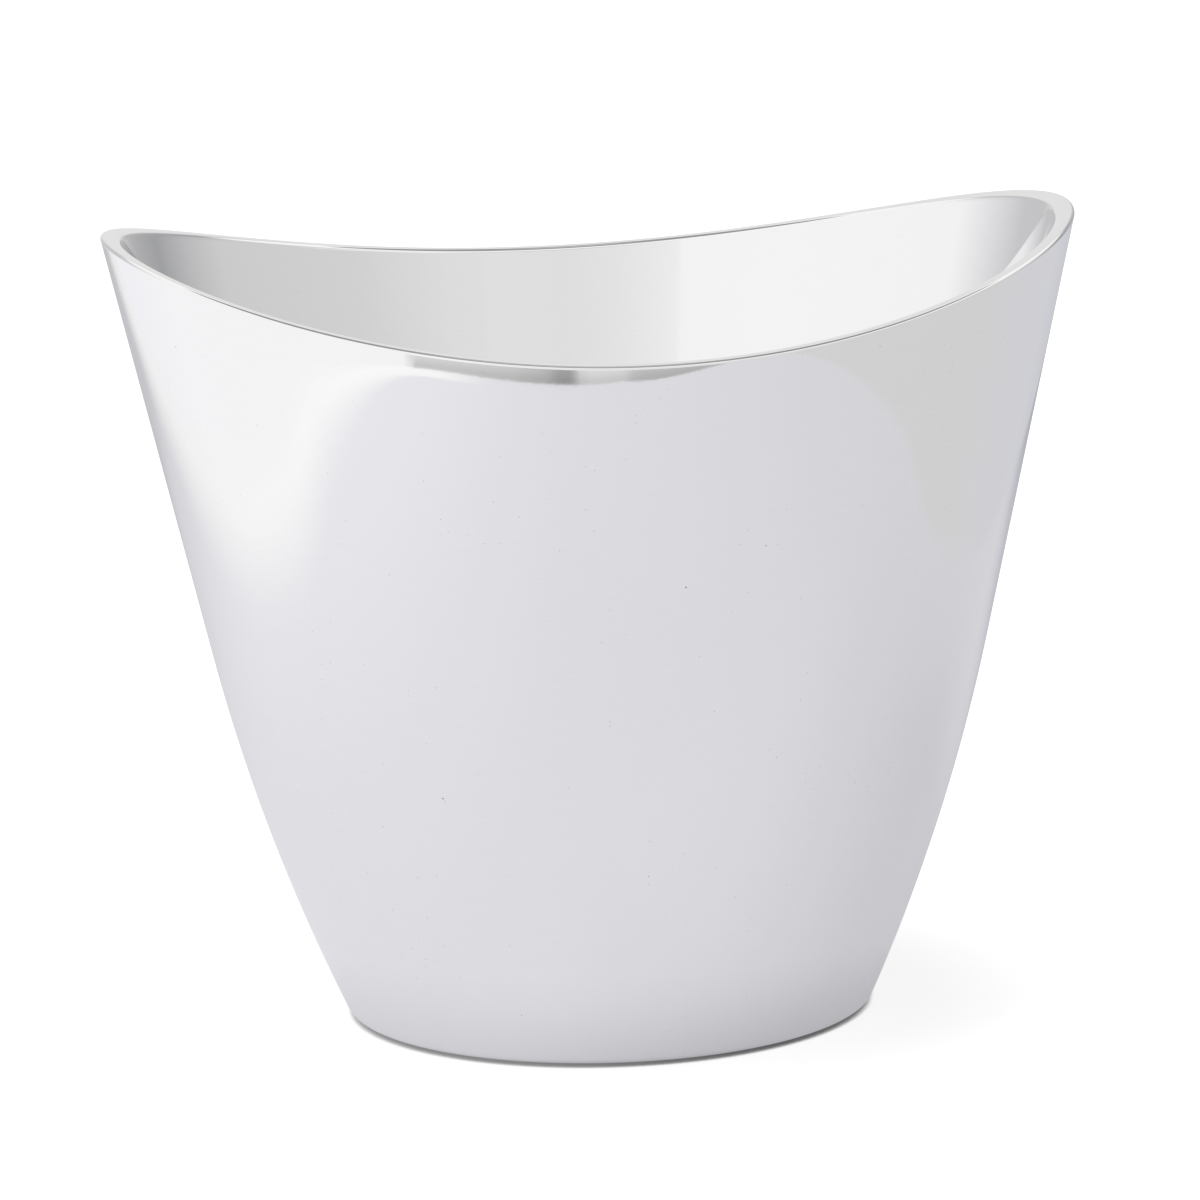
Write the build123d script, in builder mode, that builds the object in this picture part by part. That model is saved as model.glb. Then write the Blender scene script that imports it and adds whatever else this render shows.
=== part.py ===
from build123d import *

import os
from math import atan2, cos, hypot, radians, sin, sqrt, tan

# Silver champagne bucket: a double-walled flared bowl with a saddle-shaped rim.
# Millimetres, +Z up. The origin is on the resting surface, on the body's upright axis.
# X runs along the width, towards the two high ends of the rim.

# Outer form
overall_width = 300.0  # across the two high ends of the rim
end_height = 249.0  # of the rim at those two ends
low_height = 222.5  # of the rim at front and back
base_diameter = 164.0  # where the outer flank would meet the flat bottom
flare_angle = 12.5  # of the straight upper flank, from upright
shoulder_height = 117.0  # where the straight flank turns into the rounder lower one
base_edge_radius = 3.5  # outside radius between flank and bottom

# Wall
wall_thickness = 5.6  # outer face to inner face, square to the flank
shell_sheet = 1.0
liner_sheet = 0.8
floor_height = 16.0  # top of the liner's floor
liner_corner_radius = 25.0  # between the liner's floor and its wall, inside

# Rim
land_thickness = 1.2
leg_thickness = 0.8
leg_depth = 7.0  # from the land's top to the legs' lower ends
land_outer_round = 0.3
land_inner_round = 0.8

# Base
foot_proud = 1.0  # how far the foot ring stands below the metal
flange_width = 12.0
base_sheet = 1.0
base_plate_gap = 1.0  # between the plate's edge and the start of the shell's corner
foot_ring_width = 8.0
foot_ring_chamfer = 0.4
dish_rise = 4.0  # the plate's centre above its outer border
dish_step = 4.0  # radial length of the slope up to the centre
dish_border_gap = 2.0  # between the foot ring and the slope
vent_radius = 3.0

# Plug and pad
plug_head_radius = 6.0
plug_head_thickness = 1.5
plug_lip = 0.8  # how far the lip above the plate passes the hole
plug_lip_thickness = 1.0
pad_radius = 45.0
pad_bore_gap = 6.0  # between the pad's bore and the plug's lip

# The outer flank: a straight line through the rim's end, then an arc tangent to it that
# runs down to the base's corner. Every skin is parallel to it, at some depth inside.
flare = radians(flare_angle)
top_radius = overall_width / 2
base_radius = base_diameter / 2
shell_bottom = foot_proud
shoulder_radius = top_radius - (end_height - shoulder_height) * tan(flare)
chord_run = shoulder_radius - base_radius
chord_rise = shoulder_height - shell_bottom
arc_half_turn = atan2(chord_run, chord_rise) - flare
flank_arc_radius = hypot(chord_run, chord_rise) / (2 * sin(arc_half_turn))
arc_center_radius = shoulder_radius - flank_arc_radius * cos(flare)
arc_center_height = shoulder_height + flank_arc_radius * sin(flare)

# The rim's surface: a cylinder lying along Y, whose lowest line is at low_height.
rim_rise = end_height - low_height
rim_arc_radius = (top_radius**2 + rim_rise**2) / (2 * rim_rise)
stock_height = end_height + rim_rise  # skins are made this tall, then cut to the rim


def flank_radius(height, depth):
    """Radius of the lower flank's arc at a height, at a depth inside the outer face."""
    rise = height - arc_center_height
    return arc_center_radius + sqrt((flank_arc_radius - depth) ** 2 - rise**2)


def shoulder_point(depth):
    """Where the skin at a depth changes from arc to straight line."""
    reach = flank_arc_radius - depth
    return (arc_center_radius + reach * cos(flare), arc_center_height - reach * sin(flare))


def stock_point(depth):
    """Top of the straight flank, before the rim is cut, at a depth inside the outer face."""
    x, z = shoulder_point(depth)
    return (x + (stock_height - z) * tan(flare), stock_height)


def flank_lines(depth, bottom):
    """Draw the flank at a depth, from the bottom height up to the stock's top."""
    foot = (flank_radius(bottom, depth), bottom)
    middle_height = (bottom + shoulder_point(depth)[1]) / 2
    middle = (flank_radius(middle_height, depth), middle_height)
    ThreePointArc(foot, middle, shoulder_point(depth))
    Line(shoulder_point(depth), stock_point(depth))


def wall_ring(outer_depth, inner_depth):
    """Revolve the part of the wall between two depths, from the floor's height up."""
    with BuildSketch(Plane.XZ) as section:
        with BuildLine():
            flank_lines(outer_depth, floor_height)
            flank_lines(inner_depth, floor_height)
            Line(stock_point(outer_depth), stock_point(inner_depth))
            Line(
                (flank_radius(floor_height, outer_depth), floor_height),
                (flank_radius(floor_height, inner_depth), floor_height),
            )
        make_face()
    revolve(section.sketch, axis=Axis.Z)


def saddle(drop, mode):
    """Combine the space above the rim's surface, lowered by drop, with the part."""
    with BuildSketch(Plane.XZ) as section:
        with Locations((0, low_height + rim_arc_radius - drop)):
            Circle(rim_arc_radius)
    extrude(section.sketch, amount=overall_width, both=True, mode=mode)


# Outer shell: spun flank with a rounded bottom edge and a flange turned in under the base
flange_inner_radius = base_radius - flange_width
flange_top = shell_bottom + shell_sheet
with BuildPart() as outer_shell:
    with BuildSketch(Plane.XZ):
        with BuildLine():
            flank_lines(0, shell_bottom)
            Line(stock_point(0), stock_point(shell_sheet))
            flank_lines(shell_sheet, flange_top)
            Line((flank_radius(flange_top, shell_sheet), flange_top), (flange_inner_radius, flange_top))
            Line((flange_inner_radius, flange_top), (flange_inner_radius, shell_bottom))
            Line((flange_inner_radius, shell_bottom), (flank_radius(shell_bottom, 0), shell_bottom))
        make_face()
        outside_corner = vertices().sort_by_distance((base_radius, shell_bottom))[0]
        fillet(outside_corner, base_edge_radius)
        inside = (flank_radius(flange_top, shell_sheet), flange_top)
        inside_corner = vertices().sort_by_distance(inside)[0]
        fillet(inside_corner, base_edge_radius - shell_sheet)
    revolve(axis=Axis.Z)
    saddle(land_thickness, Mode.SUBTRACT)
outer_shell.part.label = "outer_shell"

# Inner liner: spun bowl with a flat floor, parallel to the outer shell
liner_outer_depth = wall_thickness - liner_sheet
floor_underside = floor_height - liner_sheet
with BuildPart() as inner_liner:
    with BuildSketch(Plane.XZ):
        with BuildLine():
            flank_lines(liner_outer_depth, floor_underside)
            Line(stock_point(liner_outer_depth), stock_point(wall_thickness))
            flank_lines(wall_thickness, floor_height)
            Line((flank_radius(floor_height, wall_thickness), floor_height), (0, floor_height))
            Line((0, floor_height), (0, floor_underside))
            Line((0, floor_underside), (flank_radius(floor_underside, liner_outer_depth), floor_underside))
        make_face()
        under = (flank_radius(floor_underside, liner_outer_depth), floor_underside)
        under_corner = vertices().sort_by_distance(under)[0]
        fillet(under_corner, liner_corner_radius + liner_sheet)
        inside = (flank_radius(floor_height, wall_thickness), floor_height)
        inside_corner = vertices().sort_by_distance(inside)[0]
        fillet(inside_corner, liner_corner_radius)
    revolve(axis=Axis.Z)
    saddle(land_thickness, Mode.SUBTRACT)
inner_liner.part.label = "inner_liner"

# Rim band: a flat land over both skins, with two legs that lap them inside the wall
with BuildPart() as rim_legs:
    wall_ring(shell_sheet, shell_sheet + leg_thickness)
    wall_ring(liner_outer_depth - leg_thickness, liner_outer_depth)
    saddle(land_thickness, Mode.SUBTRACT)
    saddle(leg_depth, Mode.INTERSECT)
with BuildPart() as rim_band:
    wall_ring(0, wall_thickness)
    saddle(0, Mode.SUBTRACT)
    saddle(land_thickness, Mode.INTERSECT)
    add(rim_legs.part)
    land = faces().filter_by(GeomType.CYLINDER).sort_by(SortBy.AREA)[-1]
    fillet(land.edges().sort_by(SortBy.LENGTH)[-1], land_outer_round)
    land = faces().filter_by(GeomType.CYLINDER).sort_by(SortBy.AREA)[-1]
    fillet(land.edges().sort_by(SortBy.LENGTH)[0], land_inner_round)
rim_band.part.label = "rim_band"

# Base plate: pressed disc on the shell's flange, its centre raised, with a vent hole
plate_radius = base_radius - base_edge_radius - base_plate_gap
plate_top = flange_top + base_sheet
foot_ring_inner_radius = flange_inner_radius - foot_ring_width
dish_outer_radius = foot_ring_inner_radius - dish_border_gap
dish_inner_radius = dish_outer_radius - dish_step
dish_underside = flange_top + dish_rise
dish_top = plate_top + dish_rise
with BuildPart() as base_plate:
    with BuildSketch(Plane.XZ):
        with BuildLine():
            Polyline(
                (plate_radius, flange_top),
                (plate_radius, plate_top),
                (dish_outer_radius, plate_top),
                (dish_inner_radius, dish_top),
                (vent_radius, dish_top),
                (vent_radius, dish_underside),
                (dish_inner_radius, dish_underside),
                (dish_outer_radius, flange_top),
                close=True,
            )
        make_face()
    revolve(axis=Axis.Z)
base_plate.part.label = "base_plate"

# Foot ring: non-slip ring against the plate, inside the flange's edge
with BuildPart() as foot_ring:
    with BuildSketch():
        Circle(flange_inner_radius)
        Circle(foot_ring_inner_radius, mode=Mode.SUBTRACT)
    extrude(amount=flange_top)
    chamfer(foot_ring.faces().sort_by(Axis.Z)[0].edges(), foot_ring_chamfer)
foot_ring.part.label = "foot_ring"

# Vent plug: a soft push-in plug, its head under the plate and its lip above
lip_radius = vent_radius + plug_lip
with BuildPart() as vent_plug:
    with BuildSketch(Plane.XY.offset(dish_underside - plug_head_thickness)):
        Circle(plug_head_radius)
    extrude(amount=plug_head_thickness)
    with BuildSketch(Plane.XY.offset(dish_underside)):
        Circle(vent_radius)
    extrude(amount=base_sheet)
    with BuildSketch(Plane.XY.offset(dish_top)):
        Circle(lip_radius)
    extrude(amount=plug_lip_thickness, taper=20)
vent_plug.part.label = "vent_plug"

# Support pad: foam ring between the base plate and the liner's floor
with BuildPart() as support_pad:
    with BuildSketch(Plane.XY.offset(dish_top)):
        Circle(pad_radius)
        Circle(lip_radius + pad_bore_gap, mode=Mode.SUBTRACT)
    extrude(amount=floor_underside - dish_top)
support_pad.part.label = "support_pad"

os.makedirs("parts", exist_ok=True)
for piece in (outer_shell, inner_liner, rim_band, base_plate, foot_ring, vent_plug, support_pad):
    export_step(piece.part, f"parts/{piece.part.label}.step")
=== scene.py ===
"""Looks of a silver champagne bucket: a double-walled flared bowl with a saddle-shaped rim.

Metres, +Z up. The origin is on the resting surface, on the body's upright axis, and X runs
along the width, towards the two high ends of the rim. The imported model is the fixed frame.
Every visible piece is a closed surface of revolution, cut to the rim's saddle where it needs it.
"""

import logging
import math
from dataclasses import dataclass, field
from enum import Enum

import bpy
import numpy as np
from mathutils import Matrix, Vector


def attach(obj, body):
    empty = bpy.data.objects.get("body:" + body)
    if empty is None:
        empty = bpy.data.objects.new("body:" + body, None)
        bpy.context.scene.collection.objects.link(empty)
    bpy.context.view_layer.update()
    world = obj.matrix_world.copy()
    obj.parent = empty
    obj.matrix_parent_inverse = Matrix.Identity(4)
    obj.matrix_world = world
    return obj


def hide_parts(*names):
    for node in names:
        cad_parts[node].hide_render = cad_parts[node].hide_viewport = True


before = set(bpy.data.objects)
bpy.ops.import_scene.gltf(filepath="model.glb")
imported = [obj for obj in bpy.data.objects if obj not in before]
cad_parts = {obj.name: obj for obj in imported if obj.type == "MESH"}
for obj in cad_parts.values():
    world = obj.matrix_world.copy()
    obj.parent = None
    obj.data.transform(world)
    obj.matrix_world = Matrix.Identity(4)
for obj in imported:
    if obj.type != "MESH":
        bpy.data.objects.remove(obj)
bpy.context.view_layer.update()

MM = 0.001
TURN_STEPS = 384  # columns round every piece, the same for all, so that neighbours stay flush
SHARP_ANGLE = 30.0  # degrees between faces above which an edge is shaded sharp
AXIS_RADIUS = 1e-5  # least radius in the turned coordinates, so that nothing divides by 0
LEAST_TOTAL = 1e-4  # the same for the table's outline
MIRROR_BOUNCES = 24  # enough for light to find its way out between the bowl's walls
FLOAT = "NodeSocketFloat"
VECTOR = "NodeSocketVector"
WHITE = (1.0, 1.0, 1.0, 1.0)
BLACK = (0.0, 0.0, 0.0, 1.0)
NO_TINT = (1.0, 1.0, 1.0)

Socket = bpy.types.NodeSocket
Pair = tuple[float, float]
Triple = tuple[float, float, float]
Colour = Triple

log = logging.getLogger("champagne_bucket")


class Slot(Enum):
    """Material slots of the record."""

    SHELL = "outer_shell"
    LINER = "inner_liner"
    RIM = "rim_band"
    PLATE = "base_plate"
    RING = "foot_ring"
    PLUG = "vent_plug"
    PAD = "support_pad"


class Blend(Enum):
    """Ways in which one colour is laid over another."""

    MIX = "MIX"
    MULTIPLY = "MULTIPLY"


# ---------------------------------------------------------------------------
# Shapes


@dataclass(frozen=True)
class BodyForm:
    """The bucket's outer form, from which every skin is set in by some depth.

    The flank is a straight line at the flare angle above the shoulder, and below it an arc
    tangent to that line that runs down to the base. The rim's surface is a cylinder lying
    along Y, so the rim is low at front and back and high at the two ends.
    """

    overall_width: float = 300.0 * MM
    end_height: float = 249.0 * MM
    low_height: float = 222.5 * MM
    base_diameter: float = 164.0 * MM
    flare_angle: float = 12.5
    shoulder_height: float = 117.0 * MM
    shell_bottom: float = 1.0 * MM

    @property
    def flare(self) -> float:
        """Flare angle in radians."""
        return math.radians(self.flare_angle)

    @property
    def top_radius(self) -> float:
        """Radius at the rim's high ends."""
        return self.overall_width / 2

    @property
    def base_radius(self) -> float:
        """Radius where the flank would meet the flat bottom."""
        return self.base_diameter / 2

    @property
    def shoulder_radius(self) -> float:
        """Radius where the straight flank ends."""
        return self.top_radius - (self.end_height - self.shoulder_height) * math.tan(self.flare)

    @property
    def arc_radius(self) -> float:
        """Radius of the lower flank: half its chord over the sine of half its turn."""
        run = self.shoulder_radius - self.base_radius
        rise = self.shoulder_height - self.shell_bottom
        half_turn = math.atan2(run, rise) - self.flare
        return math.hypot(run, rise) / (2 * math.sin(half_turn))

    @property
    def arc_centre(self) -> np.ndarray:
        """Centre of the lower flank's arc, as radius and height."""
        reach = self.arc_radius
        return np.array(
            [
                self.shoulder_radius - reach * math.cos(self.flare),
                self.shoulder_height + reach * math.sin(self.flare),
            ]
        )

    @property
    def rim_arc_radius(self) -> float:
        """Radius of the cylinder that shapes the rim."""
        rise = self.end_height - self.low_height
        return (self.top_radius**2 + rise**2) / (2 * rise)

    def shoulder(self, depth: float) -> np.ndarray:
        """Where the straight flank of the skin at a depth ends.

        Args:
            depth: how far inside the outer face the skin lies.

        Returns:
            Radius and height.
        """
        reach = self.arc_radius - depth
        turn = np.array([math.cos(self.flare), -math.sin(self.flare)])
        return self.arc_centre + reach * turn

    def rim_cut(self, depth: float, drop: float, angles: np.ndarray) -> np.ndarray:
        """Where the straight flank at a depth meets the rim's surface lowered by drop.

        The flank's radius is r0 + z tan(flare) and the rim's surface is a circle in x and z,
        so each column's height is the lower root of a quadratic in z.

        Args:
            depth: how far inside the outer face the skin lies.
            drop: how far below the rim's surface the cut is.
            angles: angle of each column round the axis.

        Returns:
            Radius and height of each column, shape (1, columns, 2).
        """
        slope = math.tan(self.flare)
        shoulder = self.shoulder(depth)
        start = shoulder[0] - shoulder[1] * slope
        top = self.low_height + self.rim_arc_radius - drop
        lean = np.cos(angles) ** 2
        a = 1 + slope**2 * lean
        b = 2 * (start * slope * lean - top)
        c = top**2 - self.rim_arc_radius**2 + start**2 * lean
        height = (-b - np.sqrt(b * b - 4 * a * c)) / (2 * a)
        return np.stack([start + height * slope, height], axis=-1)[None]

    def corner(self, depth: float, level: float, rounding: float, steps: int) -> np.ndarray:
        """Rounding between a flat level and the flank's arc at a depth.

        Its centre is one rounding above the level, and as far from the arc's centre as the
        arc's radius less the rounding, so it touches both.

        Args:
            depth: how far inside the outer face the skin lies.
            level: height of the flat face.
            rounding: radius of the rounding.
            steps: number of straight steps along it.

        Returns:
            Points from the flat face up to the flank, shape (steps + 1, 1, 2).
        """
        reach = self.arc_radius - depth
        height = level + rounding
        drop = height - self.arc_centre[1]
        radius = self.arc_centre[0] + math.sqrt((reach - rounding) ** 2 - drop**2)
        last = math.atan2(drop, radius - self.arc_centre[0])
        turn = np.linspace(-math.pi / 2, last, steps + 1)
        points = np.stack(
            [radius + rounding * np.cos(turn), height + rounding * np.sin(turn)], axis=-1
        )
        return points[:, None]

    def flank(
        self, depth: float, start: np.ndarray, cut: np.ndarray, low_steps: int, high_steps: int
    ) -> np.ndarray:
        """Flank at a depth from a point on its arc up to a cut at the rim.

        The lower rows turn evenly about the arc's centre, and the upper rows divide the
        straight line from the shoulder to the cut evenly.

        Args:
            depth: how far inside the outer face the skin lies.
            start: radius and height of the first point, which is on the arc.
            cut: the last point of each column, shape (1, columns, 2).
            low_steps: rows on the arc.
            high_steps: rows on the straight line.

        Returns:
            Rows from below the shoulder to the cut, without the start itself.
        """
        reach = self.arc_radius - depth
        first = math.atan2(start[1] - self.arc_centre[1], start[0] - self.arc_centre[0])
        turn = np.linspace(first, -self.flare, low_steps + 1)[1:, None]
        low = self.arc_centre + reach * np.stack([np.cos(turn), np.sin(turn)], axis=-1)
        share = np.linspace(0, 1, high_steps + 1)[1:, None, None]
        shoulder = self.shoulder(depth)
        high = shoulder + share * (cut - shoulder)
        return stack_rows(low, high)


def turn_angles() -> np.ndarray:
    """Angle of each column round the axis, from 0 at the high end on +X."""
    return np.arange(TURN_STEPS) * (2 * math.pi / TURN_STEPS)


def stack_rows(*parts: np.ndarray) -> np.ndarray:
    """Join runs of profile rows, each spread over all columns, in order."""
    wide = [np.broadcast_to(part, (part.shape[0], TURN_STEPS, 2)) for part in parts]
    return np.concatenate(wide)


def fixed_rows(*points: Pair) -> np.ndarray:
    """Profile rows through points of radius and height that are the same all round."""
    return np.array(points, float)[:, None]


def flat_rows(start: Pair, end: Pair, steps: int) -> np.ndarray:
    """Evenly spaced rows from start to end, both included, the same all round."""
    share = np.linspace(0, 1, steps + 1)[:, None]
    points = np.array(start) + share * (np.array(end) - np.array(start))
    return points[:, None]


def rounded(before: np.ndarray, corner: np.ndarray, after: np.ndarray, radius: float,
            steps: int) -> np.ndarray:
    """Round the corner between two straight runs.

    Each end of the rounding is the radius over the tangent of half the corner's angle away
    from the corner, and the rounding is a rational quadratic whose middle weight is the sine
    of that half angle, which makes it an arc of a circle.

    Args:
        before: a point on the run that comes in, shape (1, columns, 2).
        corner: the corner, shape (1, columns, 2).
        after: a point on the run that goes out, shape (1, columns, 2).
        radius: radius of the rounding.
        steps: number of straight steps along it.

    Returns:
        Rows along the rounding, shape (steps + 1, columns, 2).
    """
    back = before - corner
    ahead = after - corner
    back = back / np.linalg.norm(back, axis=-1, keepdims=True)
    ahead = ahead / np.linalg.norm(ahead, axis=-1, keepdims=True)
    half = np.arccos(np.clip(np.sum(back * ahead, axis=-1, keepdims=True), -1, 1)) / 2
    reach = radius / np.tan(half)
    share = np.linspace(0, 1, steps + 1)[:, None, None]
    first = (1 - share) ** 2
    middle = 2 * share * (1 - share) * np.sin(half)
    last = share**2
    points = first * (corner + reach * back) + middle * corner + last * (corner + reach * ahead)
    return points / (first + middle + last)


def rounded_path(corners: list[Triple], steps: int, closed: bool) -> np.ndarray:
    """A profile with the same outline all round, its corners rounded.

    Args:
        corners: radius, height and rounding of each corner, 0 for a sharp one.
        steps: number of straight steps in each rounding.
        closed: whether the last corner joins the first.

    Returns:
        Rows of the profile, shape (rows, 1, 2).
    """
    points = fixed_rows(*(corner[:2] for corner in corners))[:, :, None]
    runs = []
    last = len(corners) - 1
    for place, (_, _, radius) in enumerate(corners):
        if radius and (closed or 0 < place < last):
            after = points[(place + 1) % len(points)]
            runs.append(rounded(points[place - 1], points[place], after, radius, steps))
        else:
            runs.append(points[place])
    return np.concatenate(runs)


def revolve(name: str, rows: np.ndarray, on_axis: bool) -> bpy.types.Object:
    """Turn profile rows about Z into a closed mesh whose faces point outwards.

    A point of row i and column j is (r cos a, r sin a, z), with r and z from the profile and
    a the column's angle. A profile that starts and ends on the axis has one vertex at each
    end, joined to its neighbour row by a fan, and any other profile closes on itself.

    Args:
        name: name of the new object.
        rows: profile, shape (rows, columns or 1, 2), as radius and height.
        on_axis: whether the profile starts and ends on the axis.

    Returns:
        The new object, linked to the scene.
    """
    rows = stack_rows(rows)
    angles = turn_angles()
    radius, height = rows[..., 0], rows[..., 1]
    grid = np.stack([radius * np.cos(angles), radius * np.sin(angles), height], axis=-1)
    if on_axis:
        ends = grid[[0, -1], 0]
        grid = grid[1:-1]
    count = len(grid)
    here = np.arange(count * TURN_STEPS).reshape(count, TURN_STEPS)
    across = np.roll(here, -1, axis=1)
    up = here[1:] if on_axis else np.roll(here, -1, axis=0)
    up_across = across[1:] if on_axis else np.roll(across, -1, axis=0)
    here_low, across_low = here[: len(up)], across[: len(up)]
    quads = np.stack([here_low, across_low, up_across, up], axis=-1).reshape(-1, 4)
    vertices = grid.reshape(-1, 3)
    faces = quads.tolist()
    if on_axis:
        first = np.full(TURN_STEPS, len(vertices))
        fan_in = np.stack([first, across[0], here[0]], axis=-1)
        fan_out = np.stack([first + 1, here[-1], across[-1]], axis=-1)
        vertices = np.concatenate([vertices, ends])
        faces += fan_in.tolist() + fan_out.tolist()
    corners = vertices[quads]
    along = np.cross(corners[:, 2] - corners[:, 0], corners[:, 3] - corners[:, 1])
    if np.sum(corners.mean(axis=1) * along) < 0:
        faces = [face[::-1] for face in faces]
    mesh = bpy.data.meshes.new(name)
    mesh.from_pydata(vertices.tolist(), [], faces)
    mesh.shade_smooth()
    mesh.set_sharp_from_angle(angle=math.radians(SHARP_ANGLE))
    mesh.validate()
    piece = bpy.data.objects.new(name, mesh)
    bpy.context.scene.collection.objects.link(piece)
    return piece


# ---------------------------------------------------------------------------
# Node sheets


@dataclass
class NodeSheet:
    """Places nodes in one tree and links them."""

    tree: bpy.types.NodeTree

    def add(self, kind: str, inputs: dict[str | int, object] | None = None,
            **settings: object) -> bpy.types.Node:
        """Place a node, give it its settings and feed its inputs.

        Args:
            kind: the node's type name.
            inputs: sockets or values, by the name or the number of the input.
            settings: attributes of the node and their values.

        Returns:
            The new node.
        """
        node = self.tree.nodes.new(kind)
        for name, value in settings.items():
            setattr(node, name, value)
        self.feed(node, inputs or {})
        return node

    def feed(self, node: bpy.types.Node, inputs: dict[str | int, object]) -> None:
        """Link a node's inputs from sockets, or set their own values.

        Args:
            node: the node.
            inputs: sockets or values, by the name or the number of the input.
        """
        for name, source in inputs.items():
            if isinstance(source, Socket):
                self.tree.links.new(source, node.inputs[name])
            else:
                node.inputs[name].default_value = source

    def math(self, operation: str, *values: object) -> Socket:
        """Work out one number from others, each a socket or a plain number."""
        return self.add("ShaderNodeMath", dict(enumerate(values)), operation=operation).outputs[0]

    def span(self, value: object, low: object, high: object, start: object = 0.0,
             end: object = 1.0) -> Socket:
        """Ease a value from start to end as it goes from low to high."""
        inputs = {"Value": value, "From Min": low, "From Max": high, "To Min": start, "To Max": end}
        return self.add("ShaderNodeMapRange", inputs, interpolation_type="SMOOTHSTEP").outputs[0]

    def lay(self, share: object, under: object, over: object,
            blend: Blend = Blend.MIX) -> Socket:
        """Lay one colour over another, by the share of the upper one that shows."""
        inputs = {0: share, 6: under, 7: over}
        return self.add("ShaderNodeMix", inputs, data_type="RGBA", blend_type=blend.value).outputs[2]

    def join(self, *values: object) -> Socket:
        """Make a vector from three numbers."""
        return self.add("ShaderNodeCombineXYZ", dict(enumerate(values))).outputs[0]

    def split(self, vector: Socket) -> list[Socket]:
        """The three numbers of a vector."""
        return list(self.add("ShaderNodeSeparateXYZ", {0: vector}).outputs)

    def length(self, x: Socket, y: Socket) -> Socket:
        """Distance from the axis: the root of the sum of the squares of x and y."""
        square = self.math("ADD", self.math("MULTIPLY", x, x), self.math("MULTIPLY", y, y))
        return self.math("SQRT", square)

    def noise(self, vector: Socket, scale: float, detail: float = 2.0,
              roughness: float = 0.5) -> Socket:
        """Soft random values from about 0 to 1 along a vector."""
        inputs = {"Vector": vector, "Scale": scale, "Detail": detail, "Roughness": roughness}
        return self.add("ShaderNodeTexNoise", inputs).outputs[0]

    def rings(self, turned: bpy.types.NodeTree, place: Socket, stretch: float,
              look: Triple) -> Socket:
        """Noise drawn out into rings round the axis: its look is scale, detail and roughness."""
        inputs = {"Place": place, "Stretch": stretch}
        return self.noise(self.add("ShaderNodeGroup", inputs, node_tree=turned).outputs[0], *look)

    def ramp(self, value: Socket, stops: list[tuple[float, Colour]]) -> Socket:
        """Colour along a row of stops, blended evenly between them.

        Args:
            value: position from 0 to 1.
            stops: position and colour of each stop, in rising order.

        Returns:
            The colour's socket.
        """
        node = self.add("ShaderNodeValToRGB", {0: value})
        elements = node.color_ramp.elements
        while len(elements) < len(stops):
            elements.new(0.5)
        for element, (position, colour) in zip(elements, stops):
            element.position = position
            element.color = solid(colour)
        return node.outputs[0]

    def choose(self, share: Socket, first: Socket, second: Socket) -> Socket:
        """Mix two shaders: the first where the share is 0, the second where it is 1."""
        return self.add("ShaderNodeMixShader", {0: share, 1: first, 2: second}).outputs[0]

    def both(self, first: bpy.types.Node, second: bpy.types.Node) -> Socket:
        """Add the shaders of two nodes."""
        inputs = {0: first.outputs[0], 1: second.outputs[0]}
        return self.add("ShaderNodeAddShader", inputs).outputs[0]


def solid(colour: Colour) -> tuple[float, float, float, float]:
    """A colour with full cover."""
    return (*colour, 1.0)


class GroupKit:
    """A shader node group with named inputs and outputs, built once."""

    def __init__(self, name: str) -> None:
        """Start an empty group."""
        self.tree = bpy.data.node_groups.new(name, "ShaderNodeTree")
        self.sheet = NodeSheet(self.tree)
        self.enter = self.sheet.add("NodeGroupInput")
        self.leave = self.sheet.add("NodeGroupOutput")

    def take(self, name: str, kind: str, value: float | None = None) -> Socket:
        """Add an input.

        Args:
            name: name of the input.
            kind: type of its socket.
            value: its usual value.

        Returns:
            Its socket inside the group.
        """
        item = self.tree.interface.new_socket(name, in_out="INPUT", socket_type=kind)
        if value is not None:
            item.default_value = value
        return self.enter.outputs[name]

    def give(self, name: str, kind: str, source: Socket) -> None:
        """Add an output and feed it."""
        self.tree.interface.new_socket(name, in_out="OUTPUT", socket_type=kind)
        self.sheet.feed(self.leave, {name: source})


def turned_group() -> bpy.types.NodeTree:
    """Coordinates that follow a turned surface, seamless all round.

    The vector's first two numbers are the unit direction from the axis, and its third is the
    height plus the radius, so a line of equal value runs round a wall and round a disc alike.

    Returns:
        The group.
    """
    kit = GroupKit("turned_coordinates")
    sheet = kit.sheet
    place = kit.take("Place", VECTOR)
    stretch = kit.take("Stretch", FLOAT, 400.0)
    x, y, z = sheet.split(place)
    radius = sheet.math("MAXIMUM", sheet.length(x, y), AXIS_RADIUS)
    along = sheet.math("MULTIPLY", sheet.math("ADD", z, radius), stretch)
    unit_x = sheet.math("DIVIDE", x, radius)
    unit_y = sheet.math("DIVIDE", y, radius)
    kit.give("Turned", VECTOR, sheet.join(unit_x, unit_y, along))
    return kit.tree


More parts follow.
